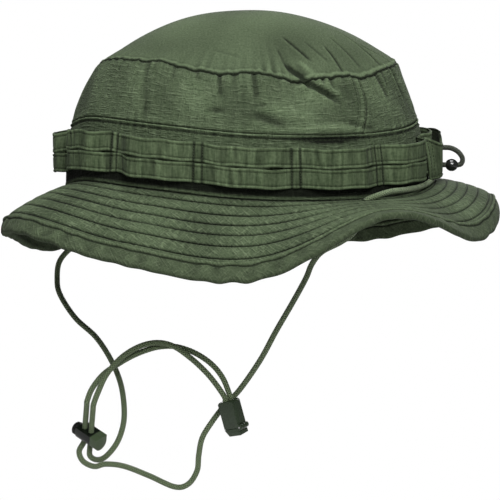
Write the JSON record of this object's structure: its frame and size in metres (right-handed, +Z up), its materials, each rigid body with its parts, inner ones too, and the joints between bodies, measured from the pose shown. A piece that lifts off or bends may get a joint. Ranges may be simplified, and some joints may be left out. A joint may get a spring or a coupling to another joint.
{
  "type": "boonie hat",
  "caption": "Soft hat with an oval crown, a wavy stitched brim, branch loops, and a chin cord with a sliding lock and an end clip.",
  "frame": {"origin": "centre of the head opening, in the plane of the seam between crown and brim", "axes": "+Z up through the crown; -Y towards the front of the brim and +Y towards the rear strap; +X to the wearer's left"},
  "size_m": [0.259, 0.285, 0.2769],
  "materials": {
    "hat_cloth": "matt cotton ripstop",
    "sweatband_cloth": "matt cotton twill",
    "stiffener": "stiff non-woven",
    "loop_tape": "woven tape",
    "thread": "close stitching",
    "cord": "braided nylon",
    "black_plastic": "polished",
    "green_plastic": "moulded, semi-gloss",
    "spring_steel": "bright wire"
  },
  "bodies": {
    "hat": {"crown_top": "hat_cloth", "crown_side_front": "hat_cloth", "crown_side_back": "hat_cloth", "crown_lower_band": "hat_cloth", "brim_upper": "hat_cloth", "brim_lower": "hat_cloth", "brim_binding": "hat_cloth", "sweatband": "sweatband_cloth", "brim_interlining_front": "stiffener", "brim_interlining_back": "stiffener", "upper_loop_tape": "loop_tape", "lower_loop_tape": "loop_tape", "loop_bartacks": "thread", "rear_strap": "loop_tape", "rear_elastic_cord": "cord", "chin_cord_back_run": "cord", "chin_cord_left": "cord", "chin_cord_right": "cord", "cord_end_body": "green_plastic", "cord_end_hinge_pin": "spring_steel", "cord_end_knot": "cord"},
    "rear_bead": {"rear_bead": "black_plastic"},
    "cord_lock": {"cord_lock_barrel": "green_plastic", "cord_lock_spring": "spring_steel"},
    "cord_lock_plunger": {"cord_lock_plunger": "black_plastic"},
    "cord_end_lid": {"cord_end_lid": "green_plastic"}
  },
  "joints": [
    {"name": "cord_lock_slide", "type": "slide", "parent": "hat", "child": "cord_lock", "axis": [0.4727, 0.0921, 0.8764], "range_m": [-0.002, 0.016]},
    {"name": "plunger_press", "type": "slide", "parent": "cord_lock", "child": "cord_lock_plunger", "axis": [0.5555, 0.7409, -0.3774], "range_m": [0, 0.0019], "stiffness_N_per_m": 400, "springref_m": -0.0015},
    {"name": "cord_end_lid_hinge", "type": "hinge", "parent": "hat", "child": "cord_end_lid", "pos_m": [0.02265, -0.00256, -0.13886], "axis": [0.848, -0.5119, -0.1372], "range_deg": [0, 95]},
    {"name": "rear_bead_slide", "type": "slide", "parent": "hat", "child": "rear_bead", "axis": [0, -1, 0], "range_m": [0, 0.0018]}
  ]
}
